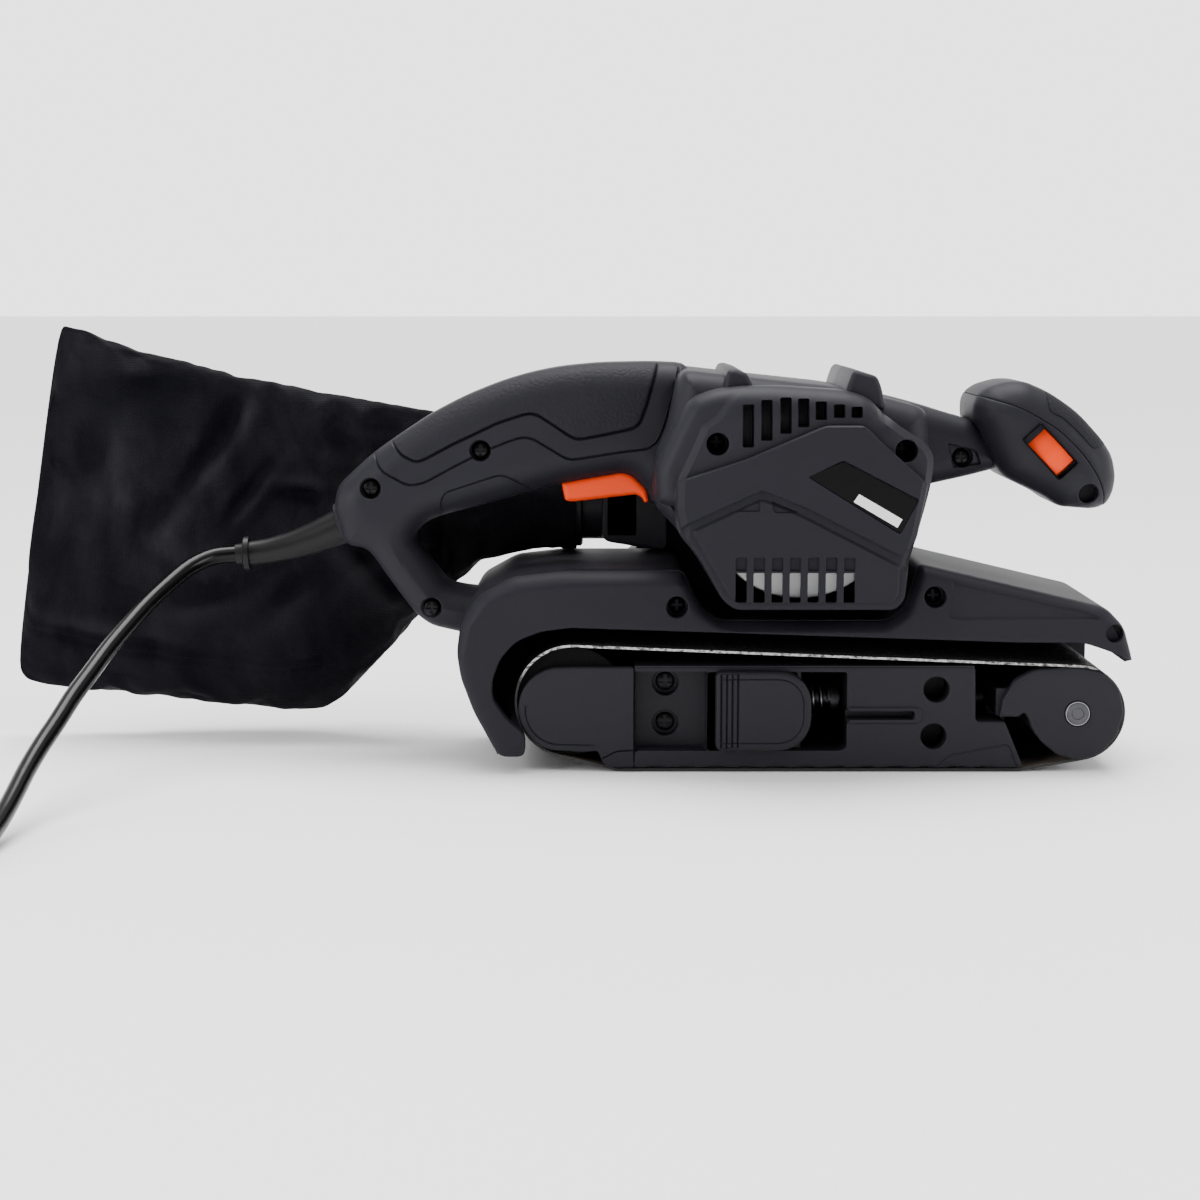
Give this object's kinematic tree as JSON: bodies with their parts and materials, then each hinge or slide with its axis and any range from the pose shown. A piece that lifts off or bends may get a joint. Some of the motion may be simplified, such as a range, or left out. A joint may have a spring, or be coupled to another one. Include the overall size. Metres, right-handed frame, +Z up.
{
  "type": "belt sander",
  "caption": "Handheld corded belt sander with a closed rear handle, a front knob handle, a sideways motor over a belt and roller base, and a rear dust bag on a side outlet.",
  "frame": {"origin": "centre of the flat sanding face, on the belt's outer side", "axes": "+X towards the front knob, +Z up, so the belt's open side faces -Y and the drive cover +Y"},
  "size_m": [0.5485, 0.311, 0.173],
  "materials": {
    "housing": "fine textured black moulding",
    "shell": "fine textured black moulding",
    "soft_grip": "soft textured overmould",
    "orange": "orange moulding",
    "gloss_black": "gloss black",
    "switch": "black phenolic",
    "frame_metal": "black painted casting",
    "pad": "cork and rubber sheet",
    "platen": "thin spring steel",
    "abrasive": "black abrasive on cloth",
    "steel": "bright steel",
    "stator": "laminated steel",
    "copper": "enamelled copper wire",
    "bracket": "cast",
    "pulley": "machined",
    "timing": "toothed belt rubber",
    "drum": "rubber lagging",
    "idler": "turned",
    "bag_fabric": "woven black cloth",
    "duct": "black moulding",
    "cord": "black rubber",
    "screws": "black zinc"
  },
  "bodies": {
    "sander": {"housing_left": "housing", "housing_right": "housing", "rear_grip_left": "soft_grip", "rear_grip_right": "soft_grip", "motor_cover": "shell", "rating_plate": "gloss_black", "base_housing": "shell", "drive_case": "shell", "drive_cover": "shell", "base_frame": "frame_metal", "drive_roller_cap": "frame_metal", "platen_pad": "pad", "platen_plate": "platen", "sanding_belt": "abrasive", "knob_shell_left": "housing", "knob_shell_right": "housing", "knob_cap": "soft_grip", "knob_grip_pad": "soft_grip", "rocker_bezel": "gloss_black", "trigger_switch": "switch", "stator_core": "stator", "field_coils": "copper", "motor_bracket": "bracket", "brush_gear": "copper", "motor_bearings": "steel", "timing_belt": "timing", "drum_bearings": "steel", "tension_spring": "steel", "lever_pin": "steel", "dust_duct": "duct", "dust_port": "duct", "housing_screws": "screws", "base_screws": "screws", "frame_screws": "screws", "cover_screws": "screws", "strain_relief": "cord", "power_cord": "cord", "cord_coil": "cord", "cord_tie": "cord", "power_plug": "cord"},
    "rotor": {"motor_shaft": "steel", "armature_core": "stator", "armature_windings": "copper", "commutator": "copper", "cooling_fan": "switch", "motor_pulley": "pulley"},
    "drive_roller": {"drive_shaft": "steel", "drive_drum": "drum", "driven_pulley": "pulley"},
    "carriage": {"tension_rod": "steel"},
    "yoke": {"front_yoke": "frame_metal", "idler_axle": "steel"},
    "idler": {"idler_roller": "idler", "idler_bearings": "steel"},
    "lever": {"tension_lever": "frame_metal"},
    "tracking": {"tracking_knob": "shell"},
    "trigger": {"trigger": "orange"},
    "rocker": {"rocker_paddle": "orange"},
    "bag": {"dust_bag": "bag_fabric", "bag_collar": "duct"}
  },
  "joints": [
    {"name": "trigger_pull", "type": "hinge", "parent": "sander", "child": "trigger", "pos_m": [-0.07, 0, 0.121], "axis": [0, 1, 0], "range_deg": [0, 8], "stiffness_Nm_per_rad": 0.5, "springref_deg": -5.73},
    {"name": "rocker_tilt", "type": "hinge", "parent": "sander", "child": "rocker", "pos_m": [0.0918, -0.027, 0.1272], "axis": [0.729, 0, 0.6845], "range_deg": [0, 16]},
    {"name": "lever_open", "type": "hinge", "parent": "sander", "child": "lever", "pos_m": [-0.008, -0.033, 0.022], "axis": [0, 0, 1], "range_deg": [0, 75]},
    {"name": "carriage_slide", "type": "slide", "parent": "sander", "child": "carriage", "axis": [1, 0, 0], "range_m": [-0.00497, 0], "deforming": ["tension_spring", "sanding_belt"]},
    {"name": "tracking_turn", "type": "hinge", "parent": "sander", "child": "tracking", "pos_m": [0.08, 0.045, 0.03], "axis": [0, 1, 0], "range_deg": [-60, 60]},
    {"name": "yoke_tilt", "type": "hinge", "parent": "carriage", "child": "yoke", "pos_m": [0.075, 0, 0.0235], "axis": [1, 0, 0], "range_deg": [-1.35, 1.35], "deforming": ["sanding_belt"]},
    {"name": "idler_spin", "type": "hinge", "parent": "yoke", "child": "idler", "pos_m": [0.1033, 0, 0.0235], "axis": [0, 1, 0], "continuous": true},
    {"name": "drive_spin", "type": "hinge", "parent": "sander", "child": "drive_roller", "pos_m": [-0.0978, 0, 0.028], "axis": [0, 1, 0], "continuous": true},
    {"name": "motor_spin", "type": "hinge", "parent": "sander", "child": "rotor", "pos_m": [-0.009, 0, 0.108], "axis": [0, 1, 0], "continuous": true},
    {"name": "bag_slide", "type": "slide", "parent": "sander", "child": "bag", "axis": [-1, 0, 0], "range_m": [0, 0.06]}
  ],
  "couplings": [
    {"joint": "lever_open", "follows": "carriage_slide", "rad_per_m": -263.16},
    {"joint": "tracking_turn", "follows": "yoke_tilt", "ratio": -44.44},
    {"joint": "motor_spin", "follows": "drive_spin", "ratio": 2.75},
    {"joint": "idler_spin", "follows": "drive_spin", "ratio": 1.1967}
  ]
}
